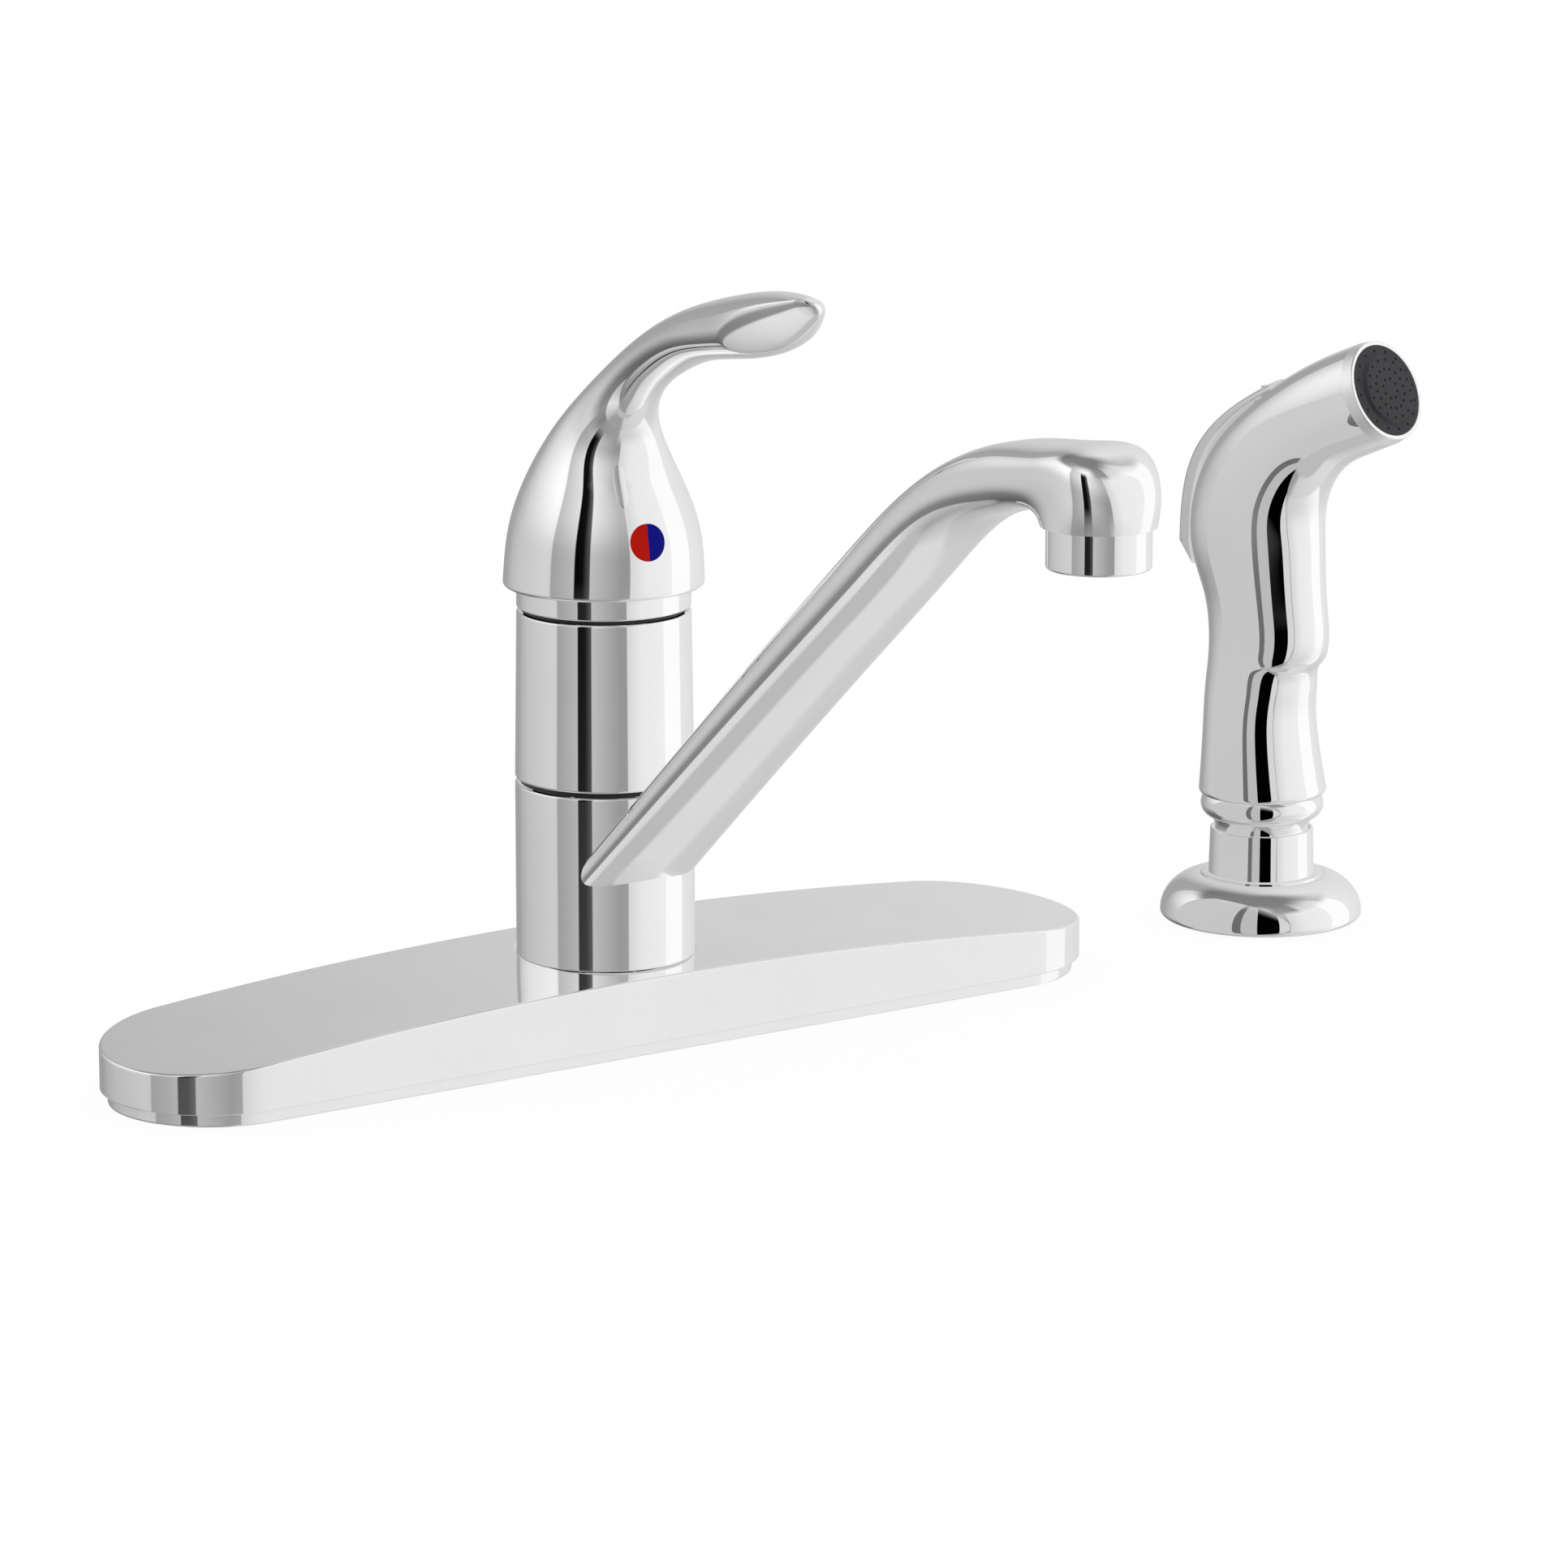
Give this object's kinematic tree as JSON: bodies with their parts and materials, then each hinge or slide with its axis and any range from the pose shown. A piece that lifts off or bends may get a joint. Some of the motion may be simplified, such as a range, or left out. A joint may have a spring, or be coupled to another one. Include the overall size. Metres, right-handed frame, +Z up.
{
  "type": "kitchen faucet with side spray",
  "caption": "Single lever kitchen faucet with a swivel spout on a long deck plate, and a separate pull-out hand spray in its own deck holder.",
  "frame": {"origin": "on the deck's top plane, midway between the two mounting studs, on the faucet's upright axis", "axes": "+Z up from the deck, -Y towards the sink, the way the spout points, +X towards the hand spray"},
  "size_m": [0.3667, 0.2369, 0.242],
  "materials": {
    "chrome_metal": "polished chrome plate",
    "chrome_plastic": "polished chrome plate on plastic",
    "brass": "raw machined brass",
    "steel": "zinc plated steel",
    "rubber_seal": "matte black rubber",
    "white_plastic": "natural plastic",
    "ceramic": "lapped ceramic",
    "grey_plastic": "light grey plastic",
    "black_plastic": "black plastic",
    "grey_rubber": "soft dark grey rubber",
    "red_mark": "glossy red",
    "blue_mark": "glossy blue"
  },
  "bodies": {
    "fixed": {"deck_plate": "chrome_metal", "deck_tray": "grey_plastic", "deck_gasket": "rubber_seal", "mounting_studs": "brass", "stud_washers": "steel", "stud_nuts": "brass", "valve_body": "brass", "shank_washer": "steel", "shank_nut": "brass", "hot_inlet": "brass", "cold_inlet": "brass", "spray_outlet": "brass", "spout_o_rings": "rubber_seal", "lower_bearing": "white_plastic", "upper_bearing": "white_plastic", "body_sleeve": "chrome_metal", "collar_ring": "chrome_metal", "bonnet_nut": "brass", "cartridge_seal": "rubber_seal", "cartridge_base": "white_plastic", "cartridge_housing": "white_plastic", "fixed_disc": "ceramic", "diverter_plug": "brass", "holder_base": "chrome_plastic", "holder_gasket": "rubber_seal", "holder_guide": "chrome_plastic", "holder_washer": "steel", "holder_nut": "black_plastic"},
    "spout": {"spout_hub": "chrome_metal", "spout_arm": "chrome_metal", "aerator_housing": "chrome_metal", "aerator_screen": "white_plastic", "aerator_washer": "rubber_seal"},
    "rotor": {"cartridge_rotor": "white_plastic", "stem_pin": "steel"},
    "lever": {"cartridge_stem": "brass", "handle": "chrome_metal", "set_screw": "steel", "hot_index": "red_mark", "cold_index": "blue_mark"},
    "disc_slide": {"moving_disc": "ceramic", "disc_carrier": "white_plastic"},
    "diverter": {"diverter_poppet": "rubber_seal"},
    "bush": {"seat_bush": "black_plastic"},
    "wand": {"wand_shell": "chrome_plastic", "wand_tail": "chrome_plastic", "hose_nipple": "brass", "spray_valve": "white_plastic", "trigger_pin": "steel", "spray_face": "grey_rubber", "nozzle_rim": "chrome_plastic", "return_spring": "steel"},
    "trigger": {"trigger": "chrome_plastic", "trigger_lug": "steel"},
    "stem": {"valve_stem": "steel"}
  },
  "joints": [
    {"name": "spout_swivel", "type": "hinge", "parent": "fixed", "child": "spout", "pos_m": [0, 0, 0.042], "axis": [0, 0, 1], "range_deg": [-60, 60]},
    {"name": "handle_turn", "type": "hinge", "parent": "fixed", "child": "rotor", "pos_m": [0, 0, 0.098], "axis": [0, 0, 1], "range_deg": [-37.3, 52.7]},
    {"name": "handle_lift", "type": "hinge", "parent": "rotor", "child": "lever", "pos_m": [0, 0, 0.098], "axis": [-0.991, 0.134, 0], "range_deg": [0, 24]},
    {"name": "disc_travel", "type": "slide", "parent": "rotor", "child": "disc_slide", "axis": [-0.134, -0.991, 0], "range_m": [0, 0.00316]},
    {"name": "diverter_travel", "type": "slide", "parent": "fixed", "child": "diverter", "axis": [0, 1, 0], "range_m": [0, 0.0016]},
    {"name": "bush_turn", "type": "hinge", "parent": "fixed", "child": "bush", "pos_m": [0.2032, 0, 0.009], "axis": [0, 0, 1], "range_deg": [-120, 120]},
    {"name": "wand_lift", "type": "slide", "parent": "bush", "child": "wand", "axis": [0, 0, 1], "range_m": [0, 0.15]},
    {"name": "trigger_press", "type": "hinge", "parent": "wand", "child": "trigger", "pos_m": [0.20376, -0.00244, 0.1354], "axis": [-0.9748, -0.2233, 0], "range_deg": [0, 2.5], "stiffness_Nm_per_rad": 2, "springref_deg": -2.86},
    {"name": "stem_travel", "type": "slide", "parent": "wand", "child": "stem", "axis": [0.2233, -0.9748, 0], "range_m": [0, 0.00158], "deforming": ["return_spring"]}
  ],
  "couplings": [
    {"joint": "disc_travel", "follows": "handle_lift", "m_per_rad": 0.0075},
    {"joint": "stem_travel", "follows": "trigger_press", "m_per_rad": 0.0354}
  ]
}
